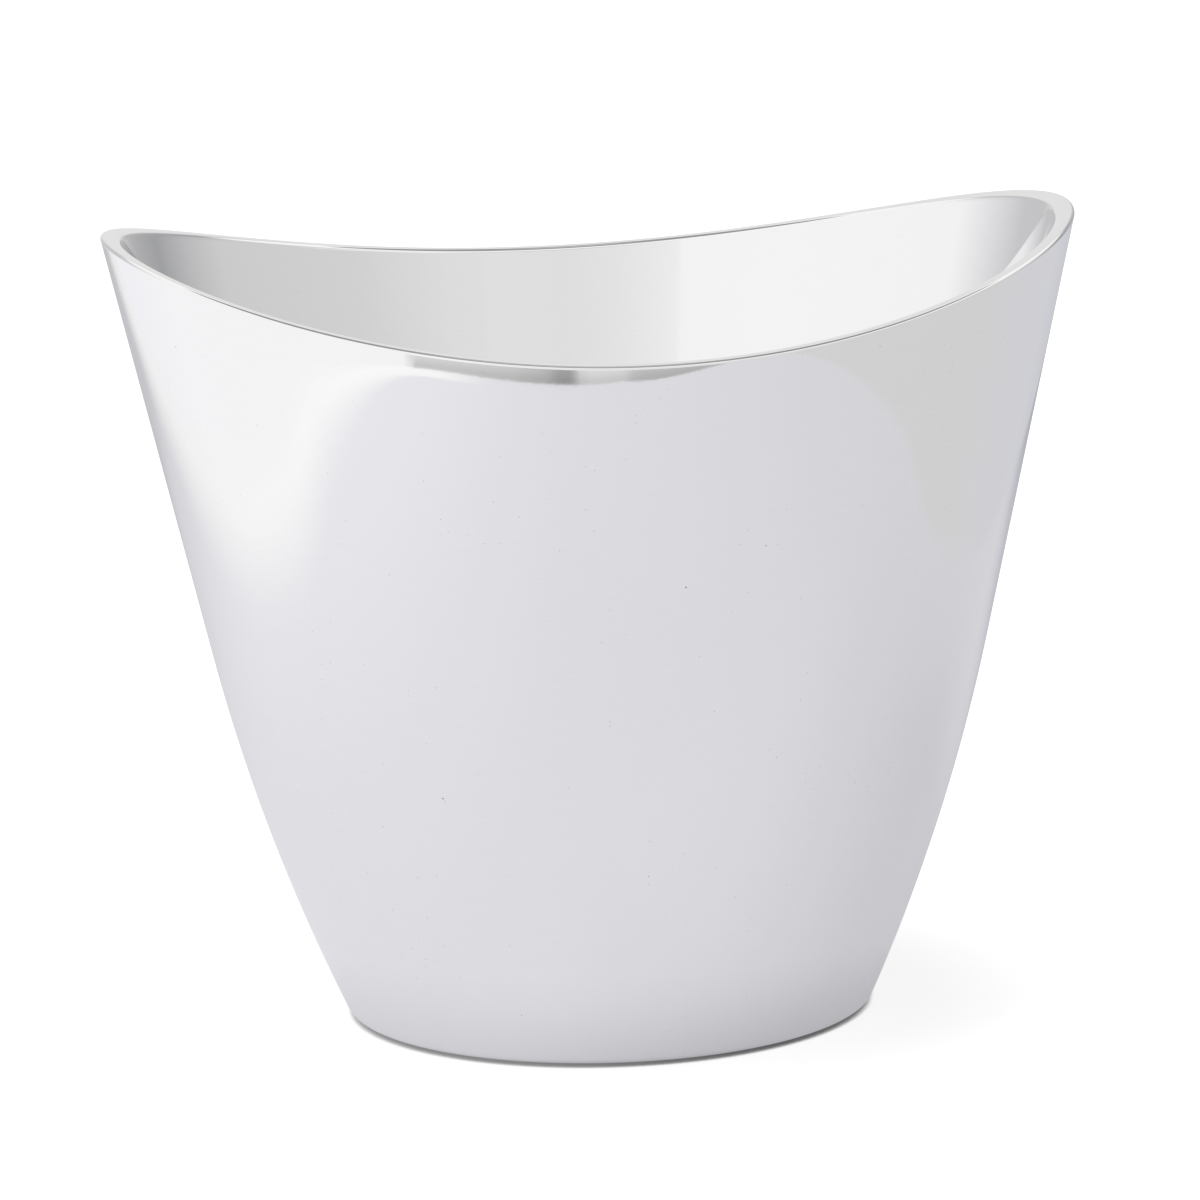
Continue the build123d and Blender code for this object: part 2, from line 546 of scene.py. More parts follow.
@dataclass(frozen=True)
class PolishMarks:
    """Marks that polishing and handling leave on metal, in one group for all polished pieces.

    Lines are noise stretched round the axis, over a fine peel. Grain is a softer streak the
    same way. Smudges are broad noise. Specks are the middles of scattered cells, kept only
    where a cell's random value is high, and dust is the same but finer and crowded in
    patches. Scratches are the thin contour where broad noise crosses its middle value, kept
    only in a few patches.
    """

    line_stretch: float = 900.0
    line_look: Triple = (1.6, 1.0, 0.5)
    line_patch_scale: float = 14.0
    line_patch: Pair = (0.35, 0.7)
    line_least: float = 0.35
    peel_scale: float = 700.0
    grain_stretch: float = 150.0
    grain_look: Triple = (16.0, 2.0, 0.7)
    smudge_scale: float = 9.0
    smudge_patch: Pair = (0.45, 0.75)
    speck_scale: float = 85.0
    speck_edge: Pair = (0.014, 0.03)
    speck_pick: float = 0.85
    dust_scale: float = 420.0
    dust_edge: Pair = (0.04, 0.09)
    dust_strength: float = 0.55
    crowd_scale: float = 22.0
    crowd_patch: Pair = (0.5, 0.72)
    crowd_share: Pair = (0.06, 0.5)
    scratch_scale: float = 16.0
    scratch_edge: Pair = (0.0004, 0.0016)
    scratch_where_scale: float = 5.5
    scratch_where: Pair = (0.62, 0.66)

    def build(self, turned: bpy.types.NodeTree) -> bpy.types.NodeTree:
        """Build the group.

        Args:
            turned: the group of turned coordinates.

        Returns:
            The group of marks.
        """
        kit = GroupKit("polish_marks")
        sheet = kit.sheet
        place = kit.take("Place", VECTOR)
        lines = kit.take("Lines", FLOAT, 1.0)
        smudges = kit.take("Smudges", FLOAT, 1.0)
        specks = kit.take("Specks", FLOAT, 1.0)
        scratches = kit.take("Scratches", FLOAT, 1.0)
        fine = sheet.rings(turned, place, self.line_stretch, self.line_look)
        patches = sheet.noise(place, self.line_patch_scale)
        patches = sheet.span(patches, *self.line_patch, self.line_least, 1.0)
        line_share = sheet.math("MULTIPLY", lines, patches)
        peel = sheet.noise(place, self.peel_scale, 1.0)
        grain = sheet.rings(turned, place, self.grain_stretch, self.grain_look)
        smudge = sheet.span(sheet.noise(place, self.smudge_scale, 3.0, 0.55), *self.smudge_patch)
        kit.give("Lines", FLOAT, sheet.math("MULTIPLY_ADD", fine, line_share, peel))
        kit.give("Grain", FLOAT, grain)
        kit.give("Smudge", FLOAT, sheet.math("MULTIPLY", smudge, smudges))
        kit.give("Speck", FLOAT, sheet.math("MULTIPLY", self.speck(sheet, place), specks))
        kit.give("Scratch", FLOAT, sheet.math("MULTIPLY", self.scratch(sheet, place), scratches))
        return kit.tree

    def speck(self, sheet: NodeSheet, place: Socket) -> Socket:
        """Scattered specks and patches of finer dust.

        Args:
            sheet: the sheet to place nodes on.
            place: position on the piece.

        Returns:
            The mask's socket.
        """
        dot, pick = self.dots(sheet, place, self.speck_scale, self.speck_edge, 1.0)
        large = sheet.math("MULTIPLY", dot, sheet.math("GREATER_THAN", pick, self.speck_pick))
        dot, pick = self.dots(sheet, place, self.dust_scale, self.dust_edge, self.dust_strength)
        crowd = sheet.noise(place, self.crowd_scale)
        crowd = sheet.span(crowd, *self.crowd_patch, *self.crowd_share)
        tiny = sheet.math("MULTIPLY", dot, sheet.math("LESS_THAN", pick, crowd))
        return sheet.math("MAXIMUM", large, tiny)

    @staticmethod
    def dots(sheet: NodeSheet, place: Socket, scale: float, edge: Pair,
             strength: float) -> tuple[Socket, Socket]:
        """Round dots at the middles of scattered cells.

        Args:
            sheet: the sheet to place nodes on.
            place: position on the piece.
            scale: how closely the cells lie.
            edge: distances from the middle between which a dot fades out.
            strength: value at the middle.

        Returns:
            The dots' socket, and that of a random number for each cell.
        """
        cells = sheet.add("ShaderNodeTexVoronoi", {"Vector": place, "Scale": scale}).outputs
        pick = sheet.add("ShaderNodeSeparateColor", {0: cells["Color"]}).outputs[0]
        return sheet.span(cells["Distance"], *edge, strength, 0.0), pick

    def scratch(self, sheet: NodeSheet, place: Socket) -> Socket:
        """Thin wandering scratches in a few patches.

        Args:
            sheet: the sheet to place nodes on.
            place: position on the piece.

        Returns:
            The mask's socket.
        """
        wander = sheet.noise(place, self.scratch_scale, 1.0)
        off = sheet.math("ABSOLUTE", sheet.math("SUBTRACT", wander, 0.5))
        thread = sheet.span(off, *self.scratch_edge, 1.0, 0.0)
        where = sheet.span(sheet.noise(place, self.scratch_where_scale, 1.0), *self.scratch_where)
        return sheet.math("MULTIPLY", thread, where)


class Surface:
    """A new material with its node sheet and the position on the piece."""

    def __init__(self, name: str) -> None:
        """Start the material."""
        self.material = bpy.data.materials.new(name)
        self.material.use_nodes = True
        self.sheet = NodeSheet(self.material.node_tree)
        self.place = self.sheet.add("ShaderNodeTexCoord").outputs["Object"]

    def finish(self, colour: Socket, roughness: Socket, height: Socket, depth: float,
               metallic: float) -> bpy.types.Material:
        """Feed the material's own shader.

        Args:
            colour: its colour.
            roughness: its roughness.
            height: height of its relief.
            depth: depth of that relief in metres.
            metallic: 1 for metal, 0 for anything else.

        Returns:
            The material.
        """
        bump = self.sheet.add("ShaderNodeBump", {"Distance": depth, "Height": height})
        self.sheet.feed(
            self.material.node_tree.nodes["Principled BSDF"],
            {
                "Base Color": colour,
                "Roughness": roughness,
                "Metallic": metallic,
                "Normal": bump.outputs[0],
            },
        )
        return self.material


@dataclass(frozen=True)
class SheetMetal:
    """Polished sheet metal, spun on a lathe and buffed."""

    name: str
    colour: Colour = (0.93, 0.93, 0.93)
    roughness: float = 0.012
    smudge_roughness: float = 0.012
    speck_roughness: float = 0.3
    scratch_roughness: float = 0.12
    lines: float = 0.3
    line_depth: float = 0.35e-6
    grain: float = 0.04
    smudges: float = 1.0
    smudge_shade: float = 0.985
    specks: float = 1.0
    speck_shade: float = 0.35
    scratches: float = 1.0

    def make(self, marks: bpy.types.NodeTree) -> bpy.types.Material:
        """Build the material.

        Args:
            marks: the group of polishing marks.

        Returns:
            The material.
        """
        surface = Surface(self.name)
        sheet = surface.sheet
        inputs = {
            "Place": surface.place,
            "Lines": self.lines,
            "Smudges": self.smudges,
            "Specks": self.specks,
            "Scratches": self.scratches,
        }
        mark = sheet.add("ShaderNodeGroup", inputs, node_tree=marks).outputs
        shades = {"Grain": 1 - self.grain, "Smudge": self.smudge_shade, "Speck": self.speck_shade}
        colour = solid(self.colour)
        for name, shade in shades.items():
            marked = tuple(part * shade for part in self.colour)
            colour = sheet.lay(mark[name], colour, solid(marked))
        gains = {
            "Smudge": self.smudge_roughness,
            "Speck": self.speck_roughness,
            "Scratch": self.scratch_roughness,
        }
        rough = self.roughness
        for name, gain in gains.items():
            rough = sheet.math("MULTIPLY_ADD", mark[name], gain, rough)
        return surface.finish(colour, rough, mark["Lines"], self.line_depth, 1.0)


@dataclass(frozen=True)
class TurnedSteel:
    """Satin steel with the fine rings that a turning tool leaves."""

    name: str
    colour: Colour = (0.62, 0.62, 0.63)
    groove: Colour = (0.5, 0.5, 0.51)
    roughness: float = 0.26
    cloud_roughness: float = 0.12
    cloud_scale: float = 30.0
    ring_stretch: float = 1500.0
    ring_look: Triple = (1.0, 4.0, 0.65)
    ring_depth: float = 6e-6

    def make(self, turned: bpy.types.NodeTree) -> bpy.types.Material:
        """Build the material.

        Args:
            turned: the group of turned coordinates.

        Returns:
            The material.
        """
        surface = Surface(self.name)
        sheet = surface.sheet
        rings = sheet.rings(turned, surface.place, self.ring_stretch, self.ring_look)
        cloud = sheet.noise(surface.place, self.cloud_scale, 3.0)
        colour = sheet.lay(rings, solid(self.groove), solid(self.colour))
        rough = sheet.math("MULTIPLY_ADD", cloud, self.cloud_roughness, self.roughness)
        return surface.finish(colour, rough, rings, self.ring_depth, 1.0)


@dataclass(frozen=True)
class Rubber:
    """Moulded rubber or foam: a fine grain, a little dust, and pores where it is foam."""

    name: str
    colour: Colour = (0.035, 0.035, 0.038)
    dust: Colour = (0.12, 0.12, 0.12)
    dust_patch: Pair = (0.45, 0.8)
    dust_share: float = 0.5
    roughness: float = 0.62
    cloud_scale: float = 60.0
    cloud_roughness: float = 0.2
    grain_scale: float = 2600.0
    grain_depth: float = 25e-6
    pores: bool = False

    def make(self) -> bpy.types.Material:
        """Build the material.

        Returns:
            The material.
        """
        surface = Surface(self.name)
        sheet = surface.sheet
        cloud = sheet.noise(surface.place, self.cloud_scale, 4.0, 0.6)
        dusty = sheet.span(cloud, *self.dust_patch, 0.0, self.dust_share)
        colour = sheet.lay(dusty, solid(self.colour), solid(self.dust))
        rough = sheet.math("MULTIPLY_ADD", cloud, self.cloud_roughness,
                           self.roughness - self.cloud_roughness / 2)
        if self.pores:
            inputs = {"Vector": surface.place, "Scale": self.grain_scale}
            height = sheet.add("ShaderNodeTexVoronoi", inputs).outputs["Distance"]
        else:
            height = sheet.noise(surface.place, self.grain_scale)
        return surface.finish(colour, rough, height, self.grain_depth, 0.0)


# ---------------------------------------------------------------------------
# Pieces


def place_piece(piece: bpy.types.Object, node: str,
                material: bpy.types.Material) -> None:
    """Dress a piece, let it ride on the body and stand for its CAD node.

    Args:
        piece: the new piece.
        node: the CAD node that it stands for.
        material: its material.
    """
    piece.data.materials.append(material)
    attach(piece, "root")
    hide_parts(node)
    log.info("%s: %d faces", piece.name, len(piece.data.polygons))


@dataclass
class Wall:
    """The two skins and the rim band that joins them."""

    form: BodyForm
    wall_thickness: float = 5.6 * MM
    shell_sheet: float = 1.0 * MM
    liner_sheet: float = 0.8 * MM
    base_edge_radius: float = 3.5 * MM
    flange_width: float = 12.0 * MM
    floor_height: float = 16.0 * MM
    liner_corner_radius: float = 25.0 * MM
    land_thickness: float = 1.2 * MM
    leg_thickness: float = 0.8 * MM
    leg_depth: float = 7.0 * MM
    land_outer_round: float = 0.8 * MM
    land_inner_round: float = 1.1 * MM
    land_crown: float = 0.2 * MM
    rim_round_steps: int = 14
    land_steps: int = 18
    ring_steps: int = 3
    floor_steps: int = 14
    skin_steps: tuple[int, int, int] = (14, 60, 24)
    skin_back_steps: tuple[int, int, int] = (7, 18, 10)
    bowl_steps: tuple[int, int, int] = (28, 44, 24)
    bowl_back_steps: tuple[int, int, int] = (14, 14, 8)
    angles: np.ndarray = field(default_factory=turn_angles)

    def face(self, depth: float, level: float, rounding: float,
             steps: tuple[int, int, int]) -> np.ndarray:
        """One face of a skin, from its flat level round the corner and up to the rim band.

        Args:
            depth: how far inside the bucket's outer face it lies.
            level: height of the flat level.
            rounding: radius of the corner.
            steps: steps round the corner, on the flank's arc and on its straight part.

        Returns:
            Rows of the profile.
        """
        corner = self.form.corner(depth, level, rounding, steps[0])
        cut = self.form.rim_cut(depth, self.land_thickness, self.angles)
        return stack_rows(corner, self.form.flank(depth, corner[-1, 0], cut, *steps[1:]))

    def shell(self) -> bpy.types.Object:
        """Outer skin: flank, rounded base corner and a flange turned in under the base.

        Returns:
            The piece.
        """
        sheet = self.shell_sheet
        bottom = self.form.shell_bottom
        flange = self.form.base_radius - self.flange_width
        outer = self.face(0, bottom, self.base_edge_radius, self.skin_steps)
        inner = self.face(sheet, bottom + sheet, self.base_edge_radius - sheet,
                          self.skin_back_steps)
        under = flat_rows((flange, bottom), tuple(outer[0, 0]), self.ring_steps)[:-1]
        rows = stack_rows(under, outer, inner[::-1], fixed_rows((flange, bottom + sheet)))
        return revolve("outer_skin", rows, on_axis=False)

    def liner(self) -> bpy.types.Object:
        """Inner bowl: flat floor, wide rounded corner and a wall parallel to the shell.

        Returns:
            The piece.
        """
        sheet = self.liner_sheet
        under = self.floor_height - sheet
        inner = self.face(self.wall_thickness, self.floor_height, self.liner_corner_radius,
                          self.bowl_steps)
        outer = self.face(self.wall_thickness - sheet, under, self.liner_corner_radius + sheet,
                          self.bowl_back_steps)
        floor = flat_rows((0, self.floor_height), tuple(inner[0, 0]), self.floor_steps)[:-1]
        bottom = flat_rows(tuple(outer[0, 0]), (0, under), self.ring_steps)[1:]
        return revolve("inner_bowl", stack_rows(floor, inner, outer[::-1], bottom), on_axis=True)

    def rim(self) -> bpy.types.Object:
        """Rim band: a land over both skins, and a leg inside each skin.

        The land's edges are rounded. Between them it is very slightly domed: its height
        falls by the crown times the square of the distance from its middle line.

        Returns:
            The piece.
        """
        form, angles = self.form, self.angles
        low = self.land_thickness
        deep = self.wall_thickness
        outer_low = form.rim_cut(0, low, angles)
        outer_top = form.rim_cut(0, 0, angles)
        inner_top = form.rim_cut(deep, 0, angles)
        inner_low = form.rim_cut(deep, low, angles)
        steps = self.rim_round_steps
        outer_edge = rounded(outer_low, outer_top, inner_top, self.land_outer_round, steps)
        inner_edge = rounded(outer_top, inner_top, inner_low, self.land_inner_round, steps)
        share = np.linspace(0, 1, self.land_steps + 1)[1:-1, None, None]
        land = outer_edge[-1:] + share * (inner_edge[:1] - outer_edge[-1:])
        top = np.concatenate([outer_edge, land, inner_edge])
        across = (outer_top[..., 0] - top[..., 0]) / (outer_top[..., 0] - inner_top[..., 0])
        top[..., 1] -= self.land_crown * (2 * across - 1) ** 2
        inner_leg = deep - self.liner_sheet
        legs = [
            (inner_leg, low),
            (inner_leg, self.leg_depth),
            (inner_leg - self.leg_thickness, self.leg_depth),
            (inner_leg - self.leg_thickness, low),
            (self.shell_sheet + self.leg_thickness, low),
            (self.shell_sheet + self.leg_thickness, self.leg_depth),
            (self.shell_sheet, self.leg_depth),
            (self.shell_sheet, low),
        ]
        under = [form.rim_cut(depth, drop, angles) for depth, drop in legs]
        rows = stack_rows(outer_low, top, inner_low, *under)
        return revolve("rim_edge", rows, on_axis=False)

    def dress(self, marks: bpy.types.NodeTree) -> None:
        """Build the three pieces and give each its finish.

        Args:
            marks: the group of polishing marks.
        """
        outside = SheetMetal("outer_polish")
        inside = SheetMetal("inner_polish", roughness=0.03, smudge_roughness=0.03, specks=0.5,
                            scratches=0.0)
        edge = SheetMetal("rim_polish", roughness=0.02, lines=0.4, specks=0.3, scratches=0.0)
        place_piece(self.shell(), "outer_shell", outside.make(marks))
        place_piece(self.liner(), "inner_liner", inside.make(marks))
        place_piece(self.rim(), "rim_band", edge.make(marks))


@dataclass
class Base:
    """What closes the bucket underneath: plate, foot ring, vent plug and foam pad."""

    plate_radius: float = 77.5 * MM
    plate_bottom: float = 2.0 * MM
    plate_sheet: float = 1.0 * MM
    dish_outer_radius: float = 60.0 * MM
    dish_inner_radius: float = 56.0 * MM
    dish_rise: float = 4.0 * MM
    press_round: float = 1.6 * MM
    vent_radius: float = 3.0 * MM
    ring_inner_radius: float = 62.0 * MM
    ring_outer_radius: float = 70.0 * MM
    ring_height: float = 2.0 * MM
    ring_edge: float = 0.4 * MM
    plug_head_radius: float = 6.0 * MM
    plug_head_thickness: float = 1.5 * MM
    plug_lip_radius: float = 3.8 * MM
    plug_lip_top_radius: float = 3.44 * MM
    plug_lip_thickness: float = 1.0 * MM
    pad_inner_radius: float = 9.8 * MM
    pad_outer_radius: float = 45.0 * MM
    pad_bottom: float = 7.0 * MM
    pad_top: float = 15.2 * MM
    pad_edge: float = 1.5 * MM
    sheet_edge: float = 0.25 * MM
    hole_edge: float = 0.1 * MM
    head_edge: float = 0.6 * MM
    seat_edge: float = 0.15 * MM
    round_steps: int = 6
    tread_steps: int = 5

    def plate(self) -> bpy.types.Object:
        """Pressed plate: flat border, rounded step up to a raised middle, and a vent hole.

        Returns:
            The piece.
        """
        low = self.plate_bottom
        top = low + self.plate_sheet
        rise = self.dish_rise
        corners = [
            (self.plate_radius, low, self.sheet_edge),
            (self.plate_radius, top, self.sheet_edge),
            (self.dish_outer_radius, top, self.press_round),
            (self.dish_inner_radius, top + rise, self.press_round / 2),
            (self.vent_radius, top + rise, self.hole_edge),
            (self.vent_radius, low + rise, self.hole_edge),
            (self.dish_inner_radius, low + rise, self.press_round),
            (self.dish_outer_radius, low, self.press_round / 2),
        ]
        rows = rounded_path(corners, self.round_steps, closed=True)
        return revolve("base_disc", rows, on_axis=False)

    def foot(self) -> bpy.types.Object:
        """Foot ring: flat tread with rounded lower edges.

        Returns:
            The piece.
        """
        corners = [
            (self.ring_inner_radius, self.ring_height, 0),
            (self.ring_inner_radius, 0, self.ring_edge),
            (self.ring_outer_radius, 0, self.ring_edge),
            (self.ring_outer_radius, self.ring_height, 0),
        ]
        rows = rounded_path(corners, self.tread_steps, closed=True)
        return revolve("foot_tread", rows, on_axis=False)

    def plug(self) -> bpy.types.Object:
        """Vent plug: domed-edge head under the plate, stem, and a tapered lip above.

        Returns:
            The piece.
        """
        dish = self.plate_bottom + self.dish_rise
        dish_top = dish + self.plate_sheet
        low = dish - self.plug_head_thickness
        high = dish_top + self.plug_lip_thickness
        corners = [
            (0, low, 0),
            (self.plug_head_radius, low, self.head_edge),
            (self.plug_head_radius, dish, self.seat_edge),
            (self.vent_radius, dish, 0),
            (self.vent_radius, dish_top, 0),
            (self.plug_lip_radius, dish_top, self.hole_edge),
            (self.plug_lip_top_radius, high, self.sheet_edge),
            (0, high, 0),
        ]
        rows = rounded_path(corners, self.round_steps, closed=False)
        return revolve("vent_stopper", rows, on_axis=True)

    def pad(self) -> bpy.types.Object:
        """Foam pad: a ring with soft edges, pressed flat between plate and liner.

        Returns:
            The piece.
        """
        corners = [
            (self.pad_inner_radius, self.pad_bottom, self.pad_edge),
            (self.pad_outer_radius, self.pad_bottom, self.pad_edge),
            (self.pad_outer_radius, self.pad_top, self.pad_edge),
            (self.pad_inner_radius, self.pad_top, self.pad_edge),
        ]
        rows = rounded_path(corners, self.round_steps, closed=True)
        return revolve("support_foam", rows, on_axis=False)

    def dress(self, turned: bpy.types.NodeTree) -> None:
        """Build the four pieces and give each its finish.

        Args:
            turned: the group of turned coordinates.
        """
        steel = TurnedSteel("turned_steel")
        tread = Rubber("tread_rubber")
        stopper = Rubber("stopper_rubber", colour=(0.05, 0.05, 0.052), roughness=0.5,
                         grain_scale=3200.0, grain_depth=15e-6)
        foam = Rubber("foam", colour=(0.1, 0.1, 0.105), roughness=0.85, grain_scale=900.0,
                      grain_depth=0.25 * MM, pores=True)
        place_piece(self.plate(), "base_plate", steel.make(turned))
        place_piece(self.foot(), "foot_ring", tread.make())
        place_piece(self.plug(), "vent_plug", stopper.make())
        pad = self.pad()
        place_piece(pad, "support_pad", foam.make())


# ---------------------------------------------------------------------------
# Studio


@dataclass(frozen=True)
class RoomSide:
    """Brightness of the room in one direction, in degrees from the camera's side."""

    azimuth: float
    level: float
    tint: Colour = NO_TINT


def ring(*sides: tuple[float, ...]) -> tuple[RoomSide, ...]:
    """A ring of sides, each from its azimuth, its level and its tint where it has one."""
    return tuple(RoomSide(*side[:2], tint=side[2:] or NO_TINT) for side in sides)


@dataclass(frozen=True)
class Room:
    """Soft white room that is dimmer to the right and behind the bucket.

    The polished metal shows the room, and the view itself shows white. The room has bands,
    one above another: the far floor low in front, the floor all round, the walls, a bright
    cove, a dark ceiling and a paler zenith. An edge is the two elevations, in degrees,
    between which one band goes over into the next.
    """

    front: tuple[RoomSide, ...] = ring(
        (-180, 0.975), (-55.2, 0.975), (-54.6, 0.76), (-40, 0.71), (-28, 0.64), (-19, 0.53),
        (-15.5, 0.40), (-12, 0.38), (-10, 0.70), (-7, 0.78), (1.5, 0.77), (4.5, 0.61),
        (9, 0.59), (28, 0.61), (40, 0.69), (180, 0.69),
    )
    ground: tuple[RoomSide, ...] = ring(
        (-180, 0.50, 0.97, 0.98, 1.03), (-169, 0.72, 0.98, 0.98, 1.04),
        (-158, 0.94, 0.985, 0.98, 1.03), (-130, 0.985, 0.995, 0.995, 1.01), (-50, 0.985),
        (0, 0.88), (35, 0.75), (60, 0.69), (105, 0.68), (125, 0.68, 1.005, 0.985, 1.03),
        (145, 0.67, 0.985, 0.99, 1.045), (163, 0.60, 0.97, 0.99, 1.05),
        (171, 0.48, 0.97, 0.99, 1.05), (176, 0.24), (180, 0.20),
    )
    walls: tuple[RoomSide, ...] = ring(
        (-180, 0.80), (-165, 0.58), (-150, 0.61, 0.99, 0.99, 1.03),
        (-135, 0.77, 0.995, 0.995, 1.02), (-118, 0.97), (-60, 0.985), (-32.5, 0.975),
        (-30.5, 0.915), (-15, 0.84), (0, 0.80), (22, 0.81), (24, 0.79), (32, 0.785),
        (60, 0.69), (90, 0.665), (104, 0.65), (116, 0.56, 0.995, 0.995, 1.01),
        (135, 0.385, 0.98, 0.985, 1.03), (160, 0.50), (172, 0.78), (180, 0.80),
    )
    cove: Colour = (1.0, 1.0, 0.985)
    ceiling: float = 0.32
    zenith: float = 0.65
    ground_edge: Pair = (-30.0, -29.0)
    walls_edge: Pair = (-5.0, -1.0)
    cove_edge: Pair = (24.0, 30.0)
    ceiling_edge: Pair = (46.0, 50.0)
    zenith_edge: Pair = (72.0, 86.0)

    def build(self) -> None:
        """Lay the bands over one another, by the azimuth and elevation that a ray leaves at."""
        world = bpy.data.worlds.new("studio_room")
        bpy.context.scene.world = world
        world.use_nodes = True
        sheet = NodeSheet(world.node_tree)
        x, y, z = sheet.split(sheet.add("ShaderNodeTexCoord").outputs["Generated"])
        turn = sheet.math("ARCTAN2", x, sheet.math("MULTIPLY", y, -1.0))
        share = sheet.math("MULTIPLY_ADD", turn, 0.5 / math.pi, 0.5)
        rise = sheet.math("MULTIPLY", sheet.math("ARCSINE", z), 180 / math.pi)
        colour = sheet.ramp(share, self.stops(self.front))
        bands = (
            (self.ground_edge, sheet.ramp(share, self.stops(self.ground))),
            (self.walls_edge, sheet.ramp(share, self.stops(self.walls))),
            (self.cove_edge, solid(self.cove)),
            (self.ceiling_edge, sheet.span(rise, *self.zenith_edge, self.ceiling, self.zenith)),
        )
        for edge, band in bands:
            colour = sheet.lay(sheet.span(rise, *edge), colour, band)
        room = world.node_tree.nodes["Background"]
        sheet.feed(room, {"Color": colour})
        white = sheet.add("ShaderNodeBackground", {"Color": WHITE})
        view = sheet.add("ShaderNodeLightPath").outputs["Is Camera Ray"]
        shown = sheet.choose(view, room.outputs[0], white.outputs[0])
        sheet.feed(world.node_tree.nodes["World Output"], {"Surface": shown})

    @staticmethod
    def stops(sides: tuple[RoomSide, ...]) -> list[tuple[float, Colour]]:
        """Ramp stops, from 0 to 1 for azimuths of -180 to 180 degrees."""
        return [
            (side.azimuth / 360 + 0.5, tuple(side.level * part for part in side.tint))
            for side in sides
        ]


@dataclass(frozen=True)
class Table:
    """Pale table around the bucket, which only the metal shows.

    Lengths are in metres from the bucket's axis, x to the right and y away from the camera.
    A run is the two places between which something fades in or out.
    """

    left: float = 0.532
    right: float = 0.487
    side_cut: float = 0.042
    cut_start: Pair = (-0.17, -0.02)
    cut_end: Pair = (0.1, 0.6)
    front: float = 0.4745
    left_turn: float = 0.067
    right_turn: float = -0.015
    left_power: float = 2.2
    right_power: float = 2.55
    edge: float = 0.0012
    left_blur: Pair = (0.01, 0.09)
    left_blur_run: Pair = (-0.35, -0.1)
    right_blur: float = 0.04
    line_end: float = 1.022
    line_depth: float = 0.22
    line_left: Pair = (-0.37, -0.36)
    line_right: Pair = (0.2, 0.28)
    # painted light: the table's level falls from left to right, brighter towards the lamp
    levels: tuple[Pair, ...] = (
        (-0.50, 0.885), (-0.42, 0.882), (-0.32, 0.868), (-0.20, 0.845), (-0.10, 0.828),
        (0.10, 0.830), (0.20, 0.822), (0.32, 0.808), (0.50, 0.806),
    )
    tint: Colour = (0.993, 0.983, 1.030)
    # painted shade: the table darkens farther back, more on the left
    far_run: Pair = (0.08, 0.7)
    far_painted_shade_run: Pair = (-0.25, 0.2)
    far_painted_shade: Pair = (0.14, 0.04)
    # painted highlight: a bright band just inside the table's left edge
    glare_width_run: Pair = (-0.36, 0.0)
    glare_width: Pair = (0.012, 0.26)
    glare_end: float = 0.99
    glare_run: Pair = (-0.22, -0.34)
    glare_level_run: Pair = (0.05, 0.35)
    glare_level: Pair = (1.02, 0.975)
    # painted shade: darker far behind, and darker and bluer behind the bucket on the right
    dusk_run: Pair = (0.6, 0.95)
    dusk_level: float = 0.86
    behind_lean: float = -1.3
    behind_run: Pair = (-0.2, 0.15)
    behind_side: Pair = (-0.05, 0.05)
    behind_painted_shade: float = 0.22
    behind_tint: Colour = (0.965, 1.0, 1.03)
    # painted light: this share of the table's brightness is glow, dimmed near the bucket as painted
    # contact shade
    glow: float = 0.45
    covered_glow: float = 0.7
    cover_distance: float = 0.03
    cover_start: float = 0.2
    full_light: float = 1.04

    def mask(self, sheet: NodeSheet, x: Socket, y: Socket) -> tuple[Socket, Socket]:
        """Where the table is, as distance from its middle over that of its edge, and a mask.

        Its outline is a superellipse in front, rounder on the left, and nearly straight at
        the sides, which are cut in a little beside the bucket.

        Args:
            sheet: the sheet to place nodes on.
            x: position across.
            y: position away from the camera.

        Returns:
            The distance's socket and the mask's, which is 1 on the table and 0 beyond it.
        """
        waist = sheet.math("MULTIPLY", sheet.span(y, *self.cut_start),
                           sheet.span(y, *self.cut_end, 1, 0))
        right = sheet.math("GREATER_THAN", x, 0.0)
        half = sheet.math("MULTIPLY_ADD", right, self.right - self.left, self.left)
        half = sheet.math("MULTIPLY_ADD", waist, -self.side_cut, half)
        power = sheet.math("MULTIPLY_ADD", right, self.right_power - self.left_power,
                           self.left_power)
        side = sheet.math("DIVIDE", sheet.math("ABSOLUTE", x), half)
        depth = sheet.math("MULTIPLY_ADD", sheet.math("MINIMUM", x, 0.0), self.left_turn,
                           self.front)
        depth = sheet.math("MULTIPLY_ADD", sheet.math("MAXIMUM", x, 0.0), self.right_turn, depth)
        ahead = sheet.math("DIVIDE", sheet.math("MULTIPLY", y, -1.0), depth)
        ahead = sheet.math("MAXIMUM", ahead, 0.0)
        side_part = sheet.math("POWER", side, power)
        total = sheet.math("ADD", side_part, sheet.math("POWER", ahead, power))
        reach = sheet.math("POWER", total, sheet.math("DIVIDE", 1.0, power))
        sideways = sheet.math("DIVIDE", side_part, sheet.math("MAXIMUM", total, LEAST_TOTAL))
        left_blur = sheet.span(y, *self.left_blur_run, *self.left_blur)
        extra_blur = sheet.math("SUBTRACT", self.right_blur, left_blur)
        blur = sheet.math("MULTIPLY_ADD", right, extra_blur, left_blur)
        soft = sheet.math("MULTIPLY_ADD", sheet.math("POWER", sideways, 4.0), blur, self.edge)
        start = sheet.math("SUBTRACT", 1.0, soft)
        end = sheet.math("ADD", 1.0, soft)
        return reach, sheet.span(reach, start, end, 1.0, 0.0)

    def beyond(self, sheet: NodeSheet, x: Socket, reach: Socket) -> Socket:
        """Light let through beyond the table, less along a thin line at its front edge.

        Args:
            sheet: the sheet to place nodes on.
            x: position across.
            reach: distance from the table's middle over that of its edge.

        Returns:
            The level's socket.
        """
        front = sheet.math("MULTIPLY", sheet.span(x, *self.line_left),
                           sheet.span(x, *self.line_right, 1, 0))
        line = sheet.span(reach, 1.0, self.line_end, self.line_depth, 0.0)
        return sheet.math("SUBTRACT", 1.0, sheet.math("MULTIPLY", front, line))

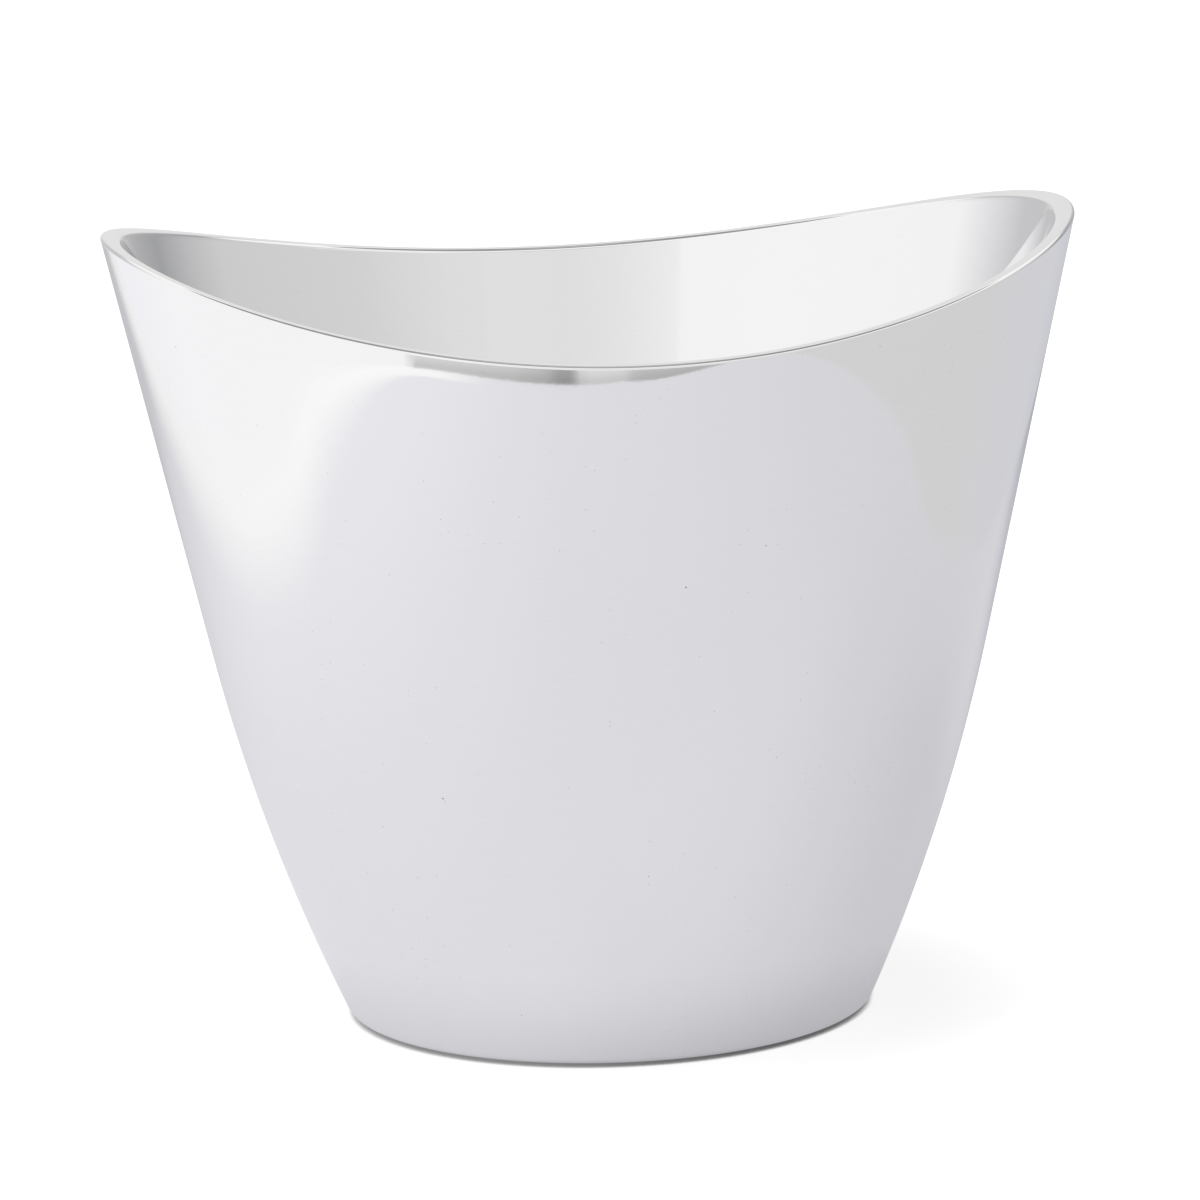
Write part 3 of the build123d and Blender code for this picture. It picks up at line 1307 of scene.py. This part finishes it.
    def shader(self, sheet: NodeSheet, x: Socket, y: Socket, reach: Socket) -> Socket:
        """The table's look: part painted glow and part lit, with a painted glare at left, and
        painted shade that makes it dimmer far behind.

        Args:
            sheet: the sheet to place nodes on.
            x: position across.
            y: position away from the camera.
            reach: distance from the table's middle over that of its edge.

        Returns:
            The shader's socket.
        """
        # painted light: brighter to the left, towards the lamp
        stops = [
            (place + 0.5, tuple(level * part for part in self.tint))
            for place, level in self.levels
        ]
        colour = sheet.ramp(sheet.math("ADD", x, 0.5), stops)
        # painted shade: darker farther back, more on the left
        loss = sheet.span(x, *self.far_painted_shade_run, *self.far_painted_shade)
        far = sheet.math("MULTIPLY", sheet.span(y, *self.far_run), loss)
        colour = sheet.lay(far, colour, BLACK)
        # painted highlight just inside the table's left edge
        width = sheet.span(y, *self.glare_width_run, *self.glare_width)
        start = sheet.math("SUBTRACT", 1.0, width)
        glare = sheet.math("MULTIPLY", sheet.span(reach, start, self.glare_end),
                           sheet.span(x, *self.glare_run))
        # painted shade far behind, and behind the bucket on the right
        dusk = sheet.span(y, *self.dusk_run, 1.0, self.dusk_level)
        behind = sheet.math("MULTIPLY_ADD", x, self.behind_lean, y)
        behind = sheet.math("MULTIPLY", sheet.span(behind, *self.behind_run),
                            sheet.span(x, *self.behind_side))
        kept = sheet.math("MULTIPLY_ADD", behind, -self.behind_painted_shade, 1.0)
        dusk = sheet.math("MULTIPLY", dusk, kept)
        colour = sheet.lay(1.0, colour, dusk, Blend.MULTIPLY)
        colour = sheet.lay(behind, colour, solid(self.behind_tint), Blend.MULTIPLY)
        bright = sheet.span(y, *self.glare_level_run, *self.glare_level)
        colour = sheet.lay(glare, colour, bright)
        # painted contact shade: ambient occlusion dims the glow near the bucket
        inputs = {"Distance": self.cover_distance}
        near = sheet.add("ShaderNodeAmbientOcclusion", inputs, samples=4)
        strength = sheet.span(near.outputs["AO"], self.cover_start, 1.0,
                              self.glow * self.covered_glow, self.glow)
        glow = sheet.add("ShaderNodeEmission", {"Color": colour, "Strength": strength})
        lit = (1 - self.glow) / self.full_light
        matte_colour = sheet.lay(1.0, colour, solid((lit, lit, lit)), Blend.MULTIPLY)
        return sheet.both(glow, sheet.add("ShaderNodeBsdfDiffuse", {"Color": matte_colour}))


@dataclass
class Studio:
    """White floor that carries the table, in the room, with one soft lamp.

    The floor's own numbers are for its look in the view: how much of its white is glow and
    how much is lit, and where painted shade stands for the bucket's cover and shadow. Lengths are in
    metres.
    """

    table: Table = Table()
    room: Room = Room()
    floor_half_side: float = 5.0
    floor_glow: float = 0.885
    floor_albedo: float = 0.15
    shade_depth: float = 0.13
    shade_run: Pair = (0.03, 0.11)
    white_run: Pair = (0.09, 0.20)
    cover_distance: float = 0.003
    cover_range: Pair = (0.25, 0.6)
    cover_run: Pair = (-0.06, 0.07)
    cover_level: Pair = (0.22, 0.05)
    key_place: Triple = (-1.4, -0.35, 1.6)
    key_side: float = 1.7
    key_power: float = 21.0

    def seen_floor(self, sheet: NodeSheet, x: Socket, y: Socket) -> Socket:
        """White floor with the bucket's shadow and contact shade, partly painted and painted
        stronger on the right.

        Args:
            sheet: the sheet to place nodes on.
            x: position across.
            y: position away from the camera.

        Returns:
            The shader's socket.
        """
        inputs = {"Distance": self.cover_distance}
        near = sheet.add("ShaderNodeAmbientOcclusion", inputs, samples=8)
        # painted shadow: right of the bucket and near it the glow is lowered, and the albedo is
        # raised so that the lit shadow shows deeper
        shaded = sheet.span(x, *self.shade_run)
        glow_level = sheet.math("MULTIPLY_ADD", shaded, -self.shade_depth, self.floor_glow)
        level = sheet.span(sheet.length(x, y), *self.white_run, glow_level, 1.0)
        # painted contact shade: where ambient occlusion finds the bucket close, the glow is dimmed,
        # more on the right
        covered = sheet.span(x, *self.cover_run, *self.cover_level)
        open_share = sheet.span(near.outputs["AO"], *self.cover_range, covered, 1.0)
        strength = sheet.math("MULTIPLY", open_share, level)
        glow = sheet.add("ShaderNodeEmission", {"Strength": strength})
        albedo = sheet.math("MULTIPLY_ADD", shaded, self.shade_depth, self.floor_albedo)
        return sheet.both(glow, sheet.add("ShaderNodeBsdfDiffuse", {"Color": albedo}))

    def floor_material(self) -> bpy.types.Material:
        """Floor: white with the bucket's shadow in the view, the pale table in reflections.

        Returns:
            The material, which lets everything through when seen from below.
        """
        material = bpy.data.materials.new("studio_floor")
        material.use_nodes = True
        tree = material.node_tree
        tree.nodes.remove(tree.nodes["Principled BSDF"])
        sheet = NodeSheet(tree)
        x, y, _ = sheet.split(sheet.add("ShaderNodeTexCoord").outputs["Object"])
        reach, mask = self.table.mask(sheet, x, y)
        level = self.table.beyond(sheet, x, reach)
        beyond = sheet.add("ShaderNodeBsdfTransparent", {"Color": level}).outputs[0]
        shown = sheet.choose(mask, beyond, self.table.shader(sheet, x, y, reach))
        in_view = sheet.add("ShaderNodeLightPath").outputs["Is Camera Ray"]
        view = sheet.choose(in_view, shown, self.seen_floor(sheet, x, y))
        below = sheet.add("ShaderNodeNewGeometry").outputs["Backfacing"]
        surface = sheet.choose(below, view, beyond)
        sheet.feed(tree.nodes["Material Output"], {"Surface": surface})
        return material

    def floor(self) -> None:
        """Flat floor at the resting height."""
        half = self.floor_half_side
        mesh = bpy.data.meshes.new("studio_floor")
        corners = np.array([[-1, -1, 0], [1, -1, 0], [1, 1, 0], [-1, 1, 0]]) * half
        mesh.from_pydata(corners.tolist(), [], [[0, 1, 2, 3]])
        mesh.materials.append(self.floor_material())
        floor = bpy.data.objects.new("studio_floor", mesh)
        bpy.context.scene.collection.objects.link(floor)

    def key(self) -> None:
        """Soft lamp up on the left, so that the shadow falls to the right."""
        data = bpy.data.lights.new("key_lamp", "AREA")
        data.shape = "SQUARE"
        data.size = self.key_side
        data.energy = self.key_power
        lamp = bpy.data.objects.new("key_lamp", data)
        lamp.location = self.key_place
        lamp.rotation_mode = "QUATERNION"
        lamp.rotation_quaternion = (-Vector(self.key_place)).to_track_quat("-Z", "Y")
        lamp.visible_glossy = False
        bpy.context.scene.collection.objects.link(lamp)

    def build(self) -> None:
        """Set up the room, the floor and the lamp."""
        self.room.build()
        self.floor()
        self.key()


@dataclass(frozen=True)
class Viewpoint:
    """Camera in front of the bucket, a little above it and a little to its left."""

    azimuth: float = -6.71
    elevation: float = 10.54
    roll: float = 1.67
    distance: float = 1.818
    target_side: float = 0.37 * MM
    target_height: float = 128.4 * MM
    lens: float = 174.97
    sensor: float = 36.0

    def place(self) -> None:
        """Make the camera and point it."""
        turn, rise, roll = (math.radians(v) for v in (self.azimuth, self.elevation, self.roll))
        back = Vector((math.sin(turn) * math.cos(rise), -math.cos(turn) * math.cos(rise),
                       math.sin(rise)))
        target = Vector((self.target_side * math.cos(turn), self.target_side * math.sin(turn),
                         self.target_height))
        right = (-back).cross(Vector((0, 0, 1))).normalized()
        up = right.cross(-back)
        side = right * math.cos(roll) - up * math.sin(roll)
        head = right * math.sin(roll) + up * math.cos(roll)
        data = bpy.data.cameras.new("front_camera")
        data.lens = self.lens
        data.sensor_width = self.sensor
        camera = bpy.data.objects.new("front_camera", data)
        spot = target + back * self.distance
        facing = Matrix((side, head, back)).transposed().to_4x4()
        camera.matrix_world = Matrix.Translation(spot) @ facing
        bpy.context.scene.collection.objects.link(camera)
        bpy.context.scene.camera = camera


def main() -> None:
    """Build the bucket, then the studio and the camera."""
    logging.basicConfig(level=logging.INFO, format="%(name)s: %(message)s")
    bpy.context.scene.view_settings.view_transform = "Standard"
    bpy.context.scene.cycles.max_bounces = MIRROR_BOUNCES
    bpy.context.scene.cycles.glossy_bounces = MIRROR_BOUNCES
    turned = turned_group()
    Wall(BodyForm()).dress(PolishMarks().build(turned))
    Base().dress(turned)
    Studio().build()
    Viewpoint().place()


if __name__ == "__main__":
    main()
